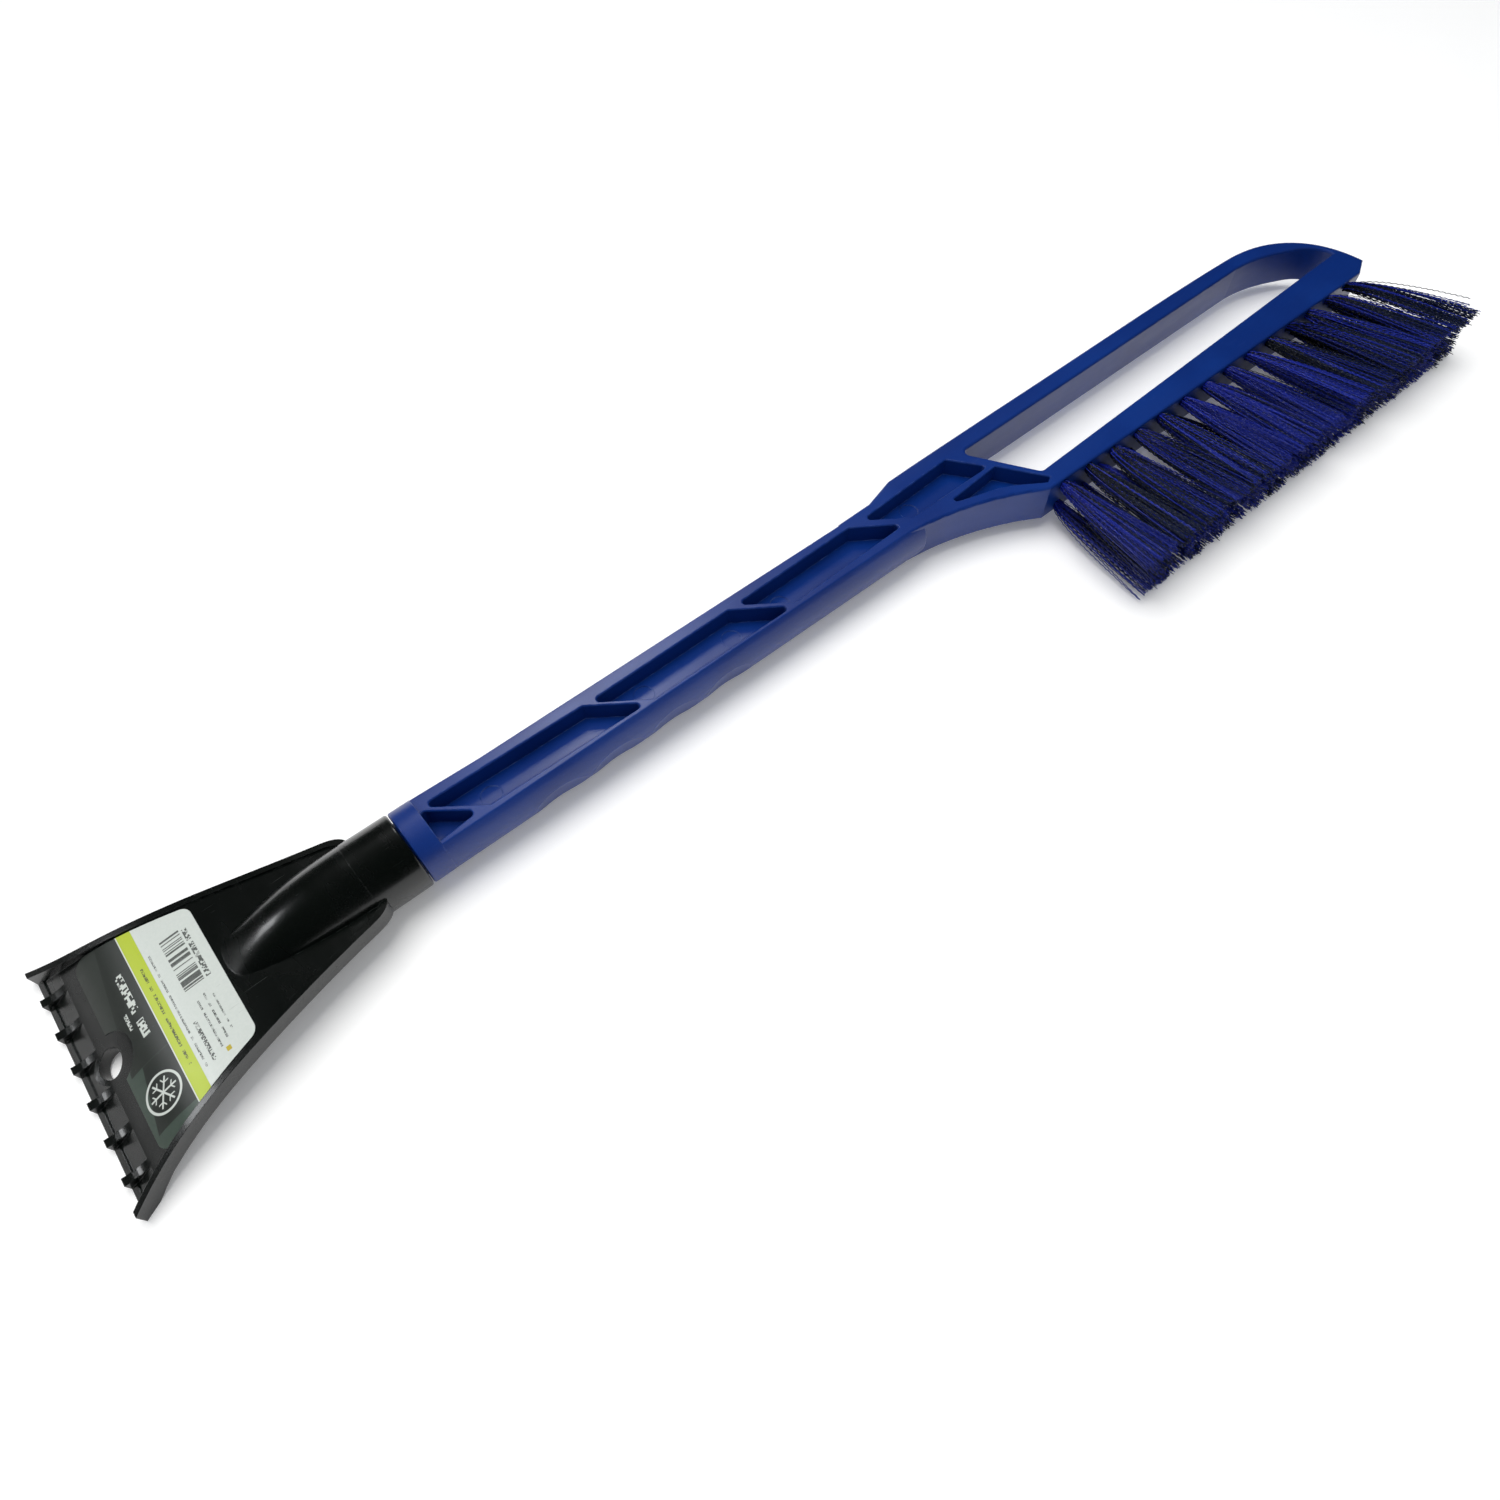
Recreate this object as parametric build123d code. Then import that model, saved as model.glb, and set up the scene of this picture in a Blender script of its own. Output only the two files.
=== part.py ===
from build123d import *
import math
import os

# Snow brush with an ice scraper head, 24 inches long, lying on its back.
# Working frame: X from the scraping edge to the brush end, Y from the handle's
# axis (the bristles point to -Y), Z up from the surface the tool lies on.
# Every piece is moved at the end, so that the origin is at the bottom centre
# of the whole tool's box. Millimetres throughout.

# ---- driving dimensions -------------------------------------------------
LENGTH = 610.0              # scraping edge to the tip of the brush frame
HEAD_HALF_WIDTH = 44.3      # half of the scraping edge
BRISTLE_REACH = 82.0        # bristle tips, measured from the handle's axis
SOCKET_RADIUS = 13.4
HANDLE_THICKNESS = 16.6     # between the handle's two flat faces
AXIS_HEIGHT = SOCKET_RADIUS  # the socket touches the surface

HALF_THICK = HANDLE_THICKNESS / 2

# ---- scraper head -------------------------------------------------------
SOCKET_START = 94.0
SOCKET_END = 110.8
SOCKET_MOUTH_ROUNDING = 0.8
SPIGOT_RADIUS = 9.8
SPIGOT_CLEARANCE = 0.1
SPIGOT_STRAIGHT_START = 90.0
SPIGOT_NOSE_X = 73.0
SPIGOT_NOSE_RADIUS = 4.2
PLATE_THICKNESS = 3.2
FLANGE_WIDTH = 2.0
FLANGE_HEIGHT = 6.3
RIB_COUNT = 6
RIB_PITCH = 13.0
RIB_WIDTH = 2.6
LIP_EDGE_HEIGHT = 0.4       # scraping edge, in front of its bevel
LIP_HEIGHT = 1.5            # lip behind the bevel
LIP_BEVEL_END = 1.8
BAY_REAR_X = 8.8
HOLE_X = 10.3
HOLE_TILT = 15.0            # the hole leans to the front, in degrees
HOLE_RADIUS = 4.6
BOSS_RADIUS = 6.2
BOSS_DEPTH = 5.0

# side profiles of the plate's top face and of the flanges' top, (x, height)
PLATE_TOP = [(0.0, 4.3), (7.0, 4.8), (14.0, 8.6), (24.0, 13.0), (42.0, 16.5),
             (60.0, 17.4), (80.0, 17.3), (104.0, 16.9)]
FLANGE_TOP = [(0.0, 5.9), (11.0, 10.1), (24.0, 14.2), (42.0, 17.2), (60.0, 18.1),
              (80.0, 18.0), (104.0, 17.6)]
# plan outline, +Y half: the concave side from the scraping edge, then the shoulder
SIDE_CURVE = [(0.0, HEAD_HALF_WIDTH), (11.0, 39.2), (24.0, 34.7), (48.0, 28.0), (72.0, 21.7), (90.0, 17.5)]
SHOULDER = [(94.0, 16.1), (97.2, 11.5)]
# sections of the bulge between socket and plate: x, centre height, half width, half height
BULGE = [(104.0, 13.4, 13.3, 13.3), (94.0, 13.4, 13.3, 13.3), (80.0, 13.4, 13.0, 12.8),
         (66.0, 14.0, 11.6, 9.2), (50.0, 15.8, 8.4, 1.0)]

# ---- label --------------------------------------------------------------
LABEL_THICKNESS = 0.2
LABEL_GAP = 0.05
LABEL_FRONT_X = 12.6
LABEL_BACK_X = 49.4
LABEL_FRONT_HALF = 35.8
LABEL_BACK_HALF = 24.6
LABEL_CORNER = 3.5
LABEL_HOLE_CLEARANCE = 8.5

# ---- handle and brush frame --------------------------------------------
COLLAR_RADIUS = 13.2
COLLAR_START = 111.2
COLLAR_END = 119.0
COLLAR_ROUNDING = 0.7
GRIP_START_RADIUS = 13.1
GRIP_RADIUS = 12.8
GRIP_CENTRE_Y = -0.5
GRIP_TAPER_END = 145.0      # the collar's round section runs into the grip's by here
GRIP_END = 330.0
GRIP_EDGE_ROUNDING = 0.6
POCKET_DEPTH = 7.3
POCKET_NOSE_RADIUS = 1.3    # at the pockets' acute corners
POCKET_CORNER_RADIUS = 0.5  # at all other corners
POCKET_RIM = 0.4            # bevel round each pocket's rim
ACUTE_ANGLE = 60.0
PIN_MARK_RADIUS = 3.7
PIN_MARK_DEPTH = 0.25
# pocket corners in plan, (x, y), going round each pocket
POCKETS = [
    [(119.0, 5.2), (134.2, -7.2), (119.0, -8.6)],
    [(120.4, 6.0), (181.9, 4.4), (199.5, -8.8), (138.2, -7.7)],
    [(184.5, 4.3), (245.9, 4.8), (265.0, -9.0), (202.3, -8.9)],
    [(249.6, 4.9), (306.5, 6.2), (323.9, -6.1), (266.9, -8.0)],
    [(313.3, 5.9), (361.7, 8.4), (371.6, -5.3), (329.0, -5.6)],
    [(347.9, -9.1), (373.9, -7.2), (385.8, -25.4), (382.8, -26.9), (372.6, -19.8), (366.3, -16.6),
     (348.1, -10.9)],
]
PIN_MARKS = [(141.0, -0.6), (203.0, -0.8), (242.0, -1.4), (266.0, -0.6), (336.0, 2.2)]
SCALLOPS_X = [159.5, 183.3, 207.5, 231.5]
SCALLOP_RADIUS = 42.0
SCALLOP_DEPTH = 1.35
SCALLOP_TILT = 18.0         # the finger scallops face down by this angle

# brush frame: outer outline on the +Y side, then round the tip to -Y
KINK_START = (321.4, 10.6)
KINK_END = (335.9, 14.7)
SPINE_MIDDLE = (441.0, 16.5)
SPINE_END = (562.0, 17.4)
TIP_ARC_MIDDLE = (598.0, 5.4)
TIP = (LENGTH, -25.2)
BAR_OUTER_Y = -29.9
BAR_OUTER_START = 381.0
BAR_OUTER_END = 600.0
FLARE_MIDDLE = (351.0, -16.4)
FLARE_START = (314.0, -10.4)
# opening between spine and brush bar
OPENING_LOW_LEFT = (386.2, -21.0)
OPENING_LOW_RIGHT = (604.4, -12.8)
OPENING_ARC_MIDDLE = (592.0, 1.8)
OPENING_TOP_RIGHT = (560.0, 9.9)
OPENING_TOP_LEFT = (369.2, 7.4)
OPENING_CORNER = 2.4
FRAME_EDGE_ROUNDING = 1.1
FRAME_OVERLAP = 25.0        # the frame runs this far into the grip

# ---- brush ---------------------------------------------------------------
TUFT_ROWS = {"top": (14, 5.0), "middle": (13, 0.0), "bottom": (14, -5.0)}   # count, height from axis
TUFT_FIRST_X = 389.5
TUFT_LAST_X = 590.0
TUFT_HOLE_RADIUS = 2.1
TUFT_HOLE_DEPTH = 6.6
TUFT_ROOT_RADIUS = 2.05
TUFT_ROOT_GAP = 0.1
TIP_FIRST_X = 382.5         # tip centres of the end tufts fan outwards
TIP_LAST_X = 601.0
TIP_WIDTH = 16.2
TIP_HEIGHT = 7.8
TIP_SPREAD = 8.4            # tip rows stand this far from the middle row
TIP_CORNER = 2.4
STAPLE_LENGTH = 5.0         # spans the hole and bites into both walls
STAPLE_HEIGHT = 1.8
STAPLE_THICKNESS = 0.5

PASS_THROUGH = 60.0         # long enough to cut through anything here

# the whole tool's box gives the origin
BOX_MIDDLE_Y = (HEAD_HALF_WIDTH - BRISTLE_REACH) / 2
PLACE = Location((-LENGTH / 2, -BOX_MIDDLE_Y, 0))


def plan_prism(outline, low, high):
    """A vertical prism from a plan outline between two heights."""
    return extrude(Plane.XY.offset(low) * outline, amount=high - low)


def side_band(top_points, lift_top, lift_bottom, half_width):
    """A band that follows the plate's side profile, between two lifts."""
    upper = Spline(*[(x, 0, z + lift_top) for x, z in top_points])
    lower = Spline(*[(x, 0, z + lift_bottom) for x, z in top_points])
    front = Line(upper @ 0, lower @ 0)
    back = Line(upper @ 1, lower @ 1)
    face = make_face([upper, back, lower, front])
    return extrude(face, amount=half_width, dir=(0, 1, 0), both=True)


def head_outline(inset=0.0):
    """Plan outline of the scraper's blade, narrower by the inset on both sides."""
    side_points = [(x, y - inset) for x, y in SIDE_CURVE]
    shoulder = [(x - inset * 0.6, y - inset) for x, y in SHOULDER]
    side = Spline(*side_points)
    cheek = Spline(side_points[-1], *shoulder, tangents=[side % 1, (0.1, -1)])
    across = Line(shoulder[-1], (shoulder[-1][0], -shoulder[-1][1]))
    half = [side, cheek]
    front = Line(side_points[0], (side_points[0][0], -side_points[0][1]))
    return make_face(half + [across] + [mirror(edge, about=Plane.XZ) for edge in half] + [front])


def plate_height(x):
    """Height of the plate's top face at x, on straight lines between its points."""
    for (x0, z0), (x1, z1) in zip(PLATE_TOP, PLATE_TOP[1:]):
        if x <= x1:
            return z0 + (z1 - z0) * (x - x0) / (x1 - x0)
    return PLATE_TOP[-1][1]


def cross_section(x, y, z, shape):
    """A flat shape set square to the handle's axis at this place."""
    return Plane.YZ.offset(x) * Pos(y, z) * shape


def make_head():
    """Scraper blade with side flanges, ice ribs, hanging hole and socket."""
    whole = plan_prism(head_outline(), 0.0, 2 * AXIS_HEIGHT)
    side_walls = whole - plan_prism(head_outline(FLANGE_WIDTH), -1.0, 2 * AXIS_HEIGHT + 1)
    plate = side_band(PLATE_TOP, 0.0, -PLATE_THICKNESS, PASS_THROUGH) & whole
    flanges = side_band(FLANGE_TOP, 0.0, -FLANGE_HEIGHT, PASS_THROUGH) & side_walls
    # solid nose under the ribs, down to the surface the tool lies on
    nose = extrude(Plane.XZ * make_face(Polyline(
        (0, 0), (0, 3.8), (7, 4.3), (13, 7.0), (12, 4.6), (6.5, 1.0), (4.5, 0), (0, 0))),
        amount=PASS_THROUGH, both=True) & whole
    head = plate + flanges + nose

    # bays between the ribs leave a bevelled scraping lip with a ramp behind it
    slope = (LIP_HEIGHT - LIP_EDGE_HEIGHT) / LIP_BEVEL_END
    above = plate_height(BAY_REAR_X) + FLANGE_HEIGHT
    bay_profile = Plane.XZ * make_face(Polyline(
        (-1, LIP_EDGE_HEIGHT - slope), (LIP_BEVEL_END, LIP_HEIGHT), (LIP_BEVEL_END + 0.8, LIP_HEIGHT),
        (BAY_REAR_X, plate_height(BAY_REAR_X)), (BAY_REAR_X, above), (-1, above),
        (-1, LIP_EDGE_HEIGHT - slope)))
    bay = extrude(bay_profile, amount=(RIB_PITCH - RIB_WIDTH) / 2, both=True)
    for index in range(RIB_COUNT + 1):
        middle = (index - RIB_COUNT / 2) * RIB_PITCH
        head -= Pos(0, middle, 0) * bay - side_walls

    # socket, and the bulge that fades from it into the plate
    socket_face = cross_section(SOCKET_START, 0, AXIS_HEIGHT, Circle(SOCKET_RADIUS))
    barrel = extrude(socket_face, amount=SOCKET_END - SOCKET_START)
    barrel = fillet(barrel.edges().sort_by(Axis.X)[-1], SOCKET_MOUTH_ROUNDING)
    bulge = loft([
        cross_section(x, 0, z, Ellipse(half_width, half_height)) for x, z, half_width, half_height in BULGE])
    head += barrel + bulge

    # bore for the handle's spigot
    bore_face = cross_section(SPIGOT_STRAIGHT_START, 0, AXIS_HEIGHT, Circle(SPIGOT_RADIUS + SPIGOT_CLEARANCE))
    head -= extrude(bore_face, amount=SOCKET_END)
    head -= loft([
        bore_face, cross_section(SPIGOT_NOSE_X - 0.5, 0, AXIS_HEIGHT, Circle(SPIGOT_NOSE_RADIUS))])

    # hanging hole with a boss under the plate that closes the bays beside it
    boss = Cylinder(BOSS_RADIUS, BOSS_DEPTH, align=(Align.CENTER, Align.CENTER, Align.MAX))
    head += hole_location() * boss & side_band(PLATE_TOP, 0.0, -2 * BOSS_DEPTH, BOSS_RADIUS)
    head -= hole_location() * Cylinder(HOLE_RADIUS, 4 * BOSS_DEPTH)
    return head


def hole_location():
    """Centre of the hanging hole on the plate's top face, with Z along the hole."""
    return Location((HOLE_X, 0, plate_height(HOLE_X)), (0, -HOLE_TILT, 0))


def make_label():
    """Thin sticker on the plate, cut out round the hanging hole."""
    corners = [
        (LABEL_FRONT_X, -LABEL_FRONT_HALF), (LABEL_BACK_X, -LABEL_BACK_HALF),
        (LABEL_BACK_X, LABEL_BACK_HALF), (LABEL_FRONT_X, LABEL_FRONT_HALF)]
    outline = make_face(Polyline(*corners, close=True))
    outline = fillet(outline.vertices(), LABEL_CORNER)
    outline -= Pos(HOLE_X, 0) * Circle(LABEL_HOLE_CLEARANCE)
    sticker = side_band(PLATE_TOP, LABEL_GAP + LABEL_THICKNESS, LABEL_GAP, PASS_THROUGH)
    return sticker & plan_prism(outline, 0, 30)


def frame_outline():
    """Plan outline of the brush frame, from the grip to the tip."""
    spine = Spline(KINK_END, SPINE_MIDDLE, SPINE_END, tangents=[(1, 0.03), (1, -0.02)])
    tip_arc = Spline(SPINE_END, TIP_ARC_MIDDLE, TIP, tangents=[(1, -0.02), (0, -1)])
    butt_x = GRIP_END - FRAME_OVERLAP
    edges = [
        Line((butt_x, -9.9), (butt_x, 10.2)),
        Line((butt_x, 10.2), KINK_START),
        Line(KINK_START, KINK_END),
        spine,
        tip_arc,
        Line(TIP, (BAR_OUTER_END, BAR_OUTER_Y)),
        Line((BAR_OUTER_END, BAR_OUTER_Y), (BAR_OUTER_START, BAR_OUTER_Y)),
        ThreePointArc((BAR_OUTER_START, BAR_OUTER_Y), FLARE_MIDDLE, FLARE_START),
        Line(FLARE_START, (butt_x, -9.9)),
    ]
    return make_face(edges)


def opening_outline():
    """Plan outline of the gap between the spine and the brush bar."""
    edges = [
        Line(OPENING_LOW_LEFT, OPENING_LOW_RIGHT),
        Spline(OPENING_LOW_RIGHT, OPENING_ARC_MIDDLE, OPENING_TOP_RIGHT,
               tangents=[(-0.05, 1), (-1, 0.04)]),
        Line(OPENING_TOP_RIGHT, OPENING_TOP_LEFT),
        Line(OPENING_TOP_LEFT, OPENING_LOW_LEFT),
    ]
    face = make_face(edges)
    left_corners = face.vertices().sort_by(Axis.X)[:2]
    return fillet(left_corners, OPENING_CORNER)


def tuft_places():
    """Every tuft: row, number in its row, root point and tip point."""
    pitch = (TUFT_LAST_X - TUFT_FIRST_X) / 13
    tip_pitch = (TIP_LAST_X - TIP_FIRST_X) / 13
    places = []
    for row, (count, height) in TUFT_ROWS.items():
        shift = 0.5 * (count == 13)
        tip_height = AXIS_HEIGHT + height / 5.0 * TIP_SPREAD
        for index in range(count):
            root = (TUFT_FIRST_X + (index + shift) * pitch, AXIS_HEIGHT + height)
            tip = (TIP_FIRST_X + (index + shift) * tip_pitch, tip_height)
            places.append((row, index + 1, root, tip))
    return places


def tuft_plane(x, y, z):
    """A plane square to the bristles, looking along -Y, at a point."""
    return Plane(origin=(x, y, z), x_dir=(1, 0, 0), z_dir=(0, -1, 0))


def make_staple(root):
    """Flat wire that anchors one tuft at the bottom of its hole."""
    x, z = root
    y = BAR_OUTER_Y + TUFT_HOLE_DEPTH - TUFT_ROOT_GAP - STAPLE_HEIGHT / 2
    return Pos(x, y, z) * Box(STAPLE_LENGTH, STAPLE_HEIGHT, STAPLE_THICKNESS)


def make_tuft(root, tip):
    """Envelope of one bristle bundle, from the hole's bottom to the tips."""
    bottom = BAR_OUTER_Y + TUFT_HOLE_DEPTH - TUFT_ROOT_GAP
    shank = extrude(tuft_plane(root[0], bottom, root[1]) * Circle(TUFT_ROOT_RADIUS),
                    amount=bottom - BAR_OUTER_Y)
    brush = loft([
        tuft_plane(root[0], BAR_OUTER_Y, root[1]) * Circle(TUFT_ROOT_RADIUS),
        tuft_plane(tip[0], -BRISTLE_REACH, tip[1]) * RectangleRounded(TIP_WIDTH, TIP_HEIGHT, TIP_CORNER),
    ])
    return shank + brush - make_staple(root)


def corner_angle(corners, index):
    """Inner angle at one corner of a closed plan outline, in degrees."""
    here = Vector(*corners[index])
    before = Vector(*corners[index - 1]) - here
    after = Vector(*corners[(index + 1) % len(corners)]) - here
    return before.get_angle(after)


def pocket_outline(corners):
    """A pocket's plan outline, rounder at its acute corners than at the others."""
    outline = make_face(Polyline(*corners, close=True))
    for acute, radius in ((True, POCKET_NOSE_RADIUS), (False, POCKET_CORNER_RADIUS)):
        chosen = [
            vertex for vertex in outline.vertices() for index, corner in enumerate(corners)
            if math.dist((vertex.X, vertex.Y), corner) < 0.01
            and (corner_angle(corners, index) < ACUTE_ANGLE) == acute]
        if chosen:
            outline = fillet(chosen, radius)
    return outline


def make_grip():
    """Round grip with two flat faces and a row of finger scallops."""
    start_section = cross_section(COLLAR_END, 0, AXIS_HEIGHT, Circle(GRIP_START_RADIUS))
    grip_section = cross_section(GRIP_TAPER_END, GRIP_CENTRE_Y, AXIS_HEIGHT, Circle(GRIP_RADIUS))
    grip = loft([start_section, grip_section]) + extrude(grip_section, amount=GRIP_END - GRIP_TAPER_END)
    grip &= Pos((COLLAR_END + GRIP_END) / 2, 0, AXIS_HEIGHT) * Box(
        GRIP_END - COLLAR_END, 4 * GRIP_RADIUS, HANDLE_THICKNESS)
    long_edges = grip.edges().filter_by(lambda edge: abs((edge @ 0).X - (edge @ 1).X) > POCKET_DEPTH)
    flat_edges = long_edges.filter_by(lambda edge: abs(abs((edge @ 0).Z - AXIS_HEIGHT) - HALF_THICK) < 0.01)
    grip = fillet(flat_edges, GRIP_EDGE_ROUNDING)
    reach = SCALLOP_RADIUS + GRIP_RADIUS - SCALLOP_DEPTH
    for x in SCALLOPS_X:
        cutter = Rot(X=SCALLOP_TILT) * Pos(0, -reach, 0) * Cylinder(SCALLOP_RADIUS, PASS_THROUGH)
        grip -= Pos(x, GRIP_CENTRE_Y, AXIS_HEIGHT) * cutter
    return grip


def make_frame():
    """Brush frame with rounded edges and the gap beside the brush bar."""
    frame = plan_prism(frame_outline(), AXIS_HEIGHT - HALF_THICK, AXIS_HEIGHT + HALF_THICK)
    frame -= plan_prism(opening_outline(), -PASS_THROUGH, PASS_THROUGH)
    butt_x = GRIP_END - FRAME_OVERLAP
    outer = [
        edge for edge in frame.edges()
        if abs((edge @ 0).Z - (edge @ 1).Z) < 0.01 and max((edge @ 0).X, (edge @ 1).X) > butt_x + 0.01]
    return fillet(outer, FRAME_EDGE_ROUNDING)


def make_handle():
    """Grip, brush frame and spigot in one moulding."""
    handle = make_grip() + make_frame()

    # round collar and the spigot that fills the head's socket
    collar_face = cross_section(COLLAR_START, 0, AXIS_HEIGHT, Circle(COLLAR_RADIUS))
    collar = extrude(collar_face, amount=COLLAR_END - COLLAR_START)
    collar = fillet(collar.edges().sort_by(Axis.X)[0], COLLAR_ROUNDING)
    spigot_face = cross_section(SPIGOT_STRAIGHT_START, 0, AXIS_HEIGHT, Circle(SPIGOT_RADIUS))
    spigot = extrude(spigot_face, amount=COLLAR_START - SPIGOT_STRAIGHT_START)
    nose = loft([
        spigot_face,
        cross_section(SPIGOT_NOSE_X, 0, AXIS_HEIGHT, Circle(SPIGOT_NOSE_RADIUS - SPIGOT_CLEARANCE))])
    handle += collar + spigot + nose

    # lightening pockets on both faces leave a thin web between them
    top = AXIS_HEIGHT + HALF_THICK
    middle = Plane.XY.offset(AXIS_HEIGHT)
    for corners in POCKETS:
        outline = pocket_outline(corners)
        pocket = plan_prism(outline, top - POCKET_DEPTH, top + 1)
        rim = extrude(Plane.XY.offset(top - POCKET_RIM) * outline, amount=2 * POCKET_RIM, taper=-45)
        for cut in (pocket, rim):
            handle -= cut
            handle -= mirror(cut, about=middle)
    for x, y in PIN_MARKS:
        handle -= Pos(x, y, top - POCKET_DEPTH) * Cylinder(PIN_MARK_RADIUS, 2 * PIN_MARK_DEPTH)

    # blind holes for the tufts, with the bite of each staple
    for _, _, root, _ in tuft_places():
        bottom = BAR_OUTER_Y + TUFT_HOLE_DEPTH
        hole = tuft_plane(root[0], bottom, root[1]) * Circle(TUFT_HOLE_RADIUS)
        handle -= extrude(hole, amount=TUFT_HOLE_DEPTH + 1)
        handle -= make_staple(root)
    return handle


def write(name, shape):
    """Place one finished piece in the tool's frame and write its file."""
    export_step(PLACE * shape, f"parts/{name}.step")


os.makedirs("parts", exist_ok=True)
write("scraper_head", make_head())
write("handle_frame", make_handle())
write("label", make_label())
staples = {row: [] for row in TUFT_ROWS}
for row, number, root, tip in tuft_places():
    write(f"tuft_{row}_{number:02d}", make_tuft(root, tip))
    staples[row].append(make_staple(root))
for row, pieces in staples.items():
    write(f"staples_{row}", Compound(children=pieces))
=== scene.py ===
import math

import bpy
import numpy as np
from mathutils import Matrix, Vector


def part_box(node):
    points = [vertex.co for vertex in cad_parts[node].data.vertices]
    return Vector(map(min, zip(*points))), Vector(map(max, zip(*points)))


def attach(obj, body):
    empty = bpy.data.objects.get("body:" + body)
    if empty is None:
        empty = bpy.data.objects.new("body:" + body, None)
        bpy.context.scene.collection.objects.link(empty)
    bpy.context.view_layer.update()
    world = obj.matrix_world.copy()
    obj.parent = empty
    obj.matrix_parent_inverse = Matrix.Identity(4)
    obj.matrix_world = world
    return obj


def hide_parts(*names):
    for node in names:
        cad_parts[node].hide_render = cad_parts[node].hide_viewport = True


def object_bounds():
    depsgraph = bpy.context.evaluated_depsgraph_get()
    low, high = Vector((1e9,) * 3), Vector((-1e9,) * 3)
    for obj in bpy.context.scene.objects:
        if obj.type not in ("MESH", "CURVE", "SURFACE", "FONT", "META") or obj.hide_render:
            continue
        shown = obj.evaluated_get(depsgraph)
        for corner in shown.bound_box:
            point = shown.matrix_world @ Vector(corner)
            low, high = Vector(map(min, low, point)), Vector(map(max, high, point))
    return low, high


# Looks of the snow brush scraper. The blade, handle, label and staples are the
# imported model's own pieces with detailed materials. Every tuft's plain solid is
# replaced by a bundle of crimped bristles. Lengths are in metres unless a name
# ends in _MM.

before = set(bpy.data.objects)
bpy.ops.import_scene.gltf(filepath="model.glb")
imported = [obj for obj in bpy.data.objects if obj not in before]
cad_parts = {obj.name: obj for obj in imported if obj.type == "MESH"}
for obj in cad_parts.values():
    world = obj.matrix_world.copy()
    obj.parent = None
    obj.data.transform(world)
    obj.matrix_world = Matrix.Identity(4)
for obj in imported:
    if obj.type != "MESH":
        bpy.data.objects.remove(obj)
cad_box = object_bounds()

MM = 0.001
BODY = "root"
SEED = 24

# ---- bristles ------------------------------------------------------------
STRANDS_PER_TUFT = 110
STRAND_RADIUS = 0.19 * MM
STRAND_SIDES = 3
CRIMP_LENGTH = 2.7 * MM          # one wave of the crimp
CRIMP_HEIGHT = 0.17 * MM
POINTS_PER_CRIMP = 4
FAN_POWER = 0.62                 # below 1, a tuft spreads early and then runs straighter
ROOT_SPREAD = 1.7 * MM          # strands fill the hole out to this radius
CLUMPS_PER_TUFT = 8
CLUMP_SPREAD = 1.3 * MM          # strands of a clump end about this far apart
LEAN = 2.8 * MM                  # how far a whole tuft's tips may drift sideways
BOW = 0.9 * MM
TRIM_UNEVENNESS = 0.4 * MM
LONG_STRAND_SHARE = 0.05
LONG_STRAND_EXTRA = 1.2 * MM
STRAY_COUNT = 7                  # loose strands fanning out of the last tuft
STRAY_REACH = 8.0 * MM
END_SLICE = 0.2 * MM             # a tuft solid's end faces lie within this slice
LOOSE_SHARE = 0.45               # strands that end apart from any clump
FLARE_SHARE = 0.15               # the crimp grows to full height over this share of the fan
TUFT_MIXES = (0.88, 0.75, 0.6, 0.45, 0.25)    # shares of blue strands, one for each tuft

# ---- studio ---------------------------------------------------------------
FLOOR_HALF = 3.0
PAPER_GLOW = 0.13                # lifts the paper to an even white
SKY_STRENGTH = 0.34              # soft light from all sides, not seen as a reflection

# ---- camera ---------------------------------------------------------------
CAMERA_PLACE = Vector((-0.1987, -0.1595, 0.2902))
CAMERA_HEADING = math.radians(38.96)      # from +Y towards +X
CAMERA_PITCH = math.radians(57.6)         # below the horizon
CAMERA_ROLL = math.radians(-1.45)
CAMERA_LENS_MM = 23.4
CAMERA_SENSOR_MM = 36.0


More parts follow.
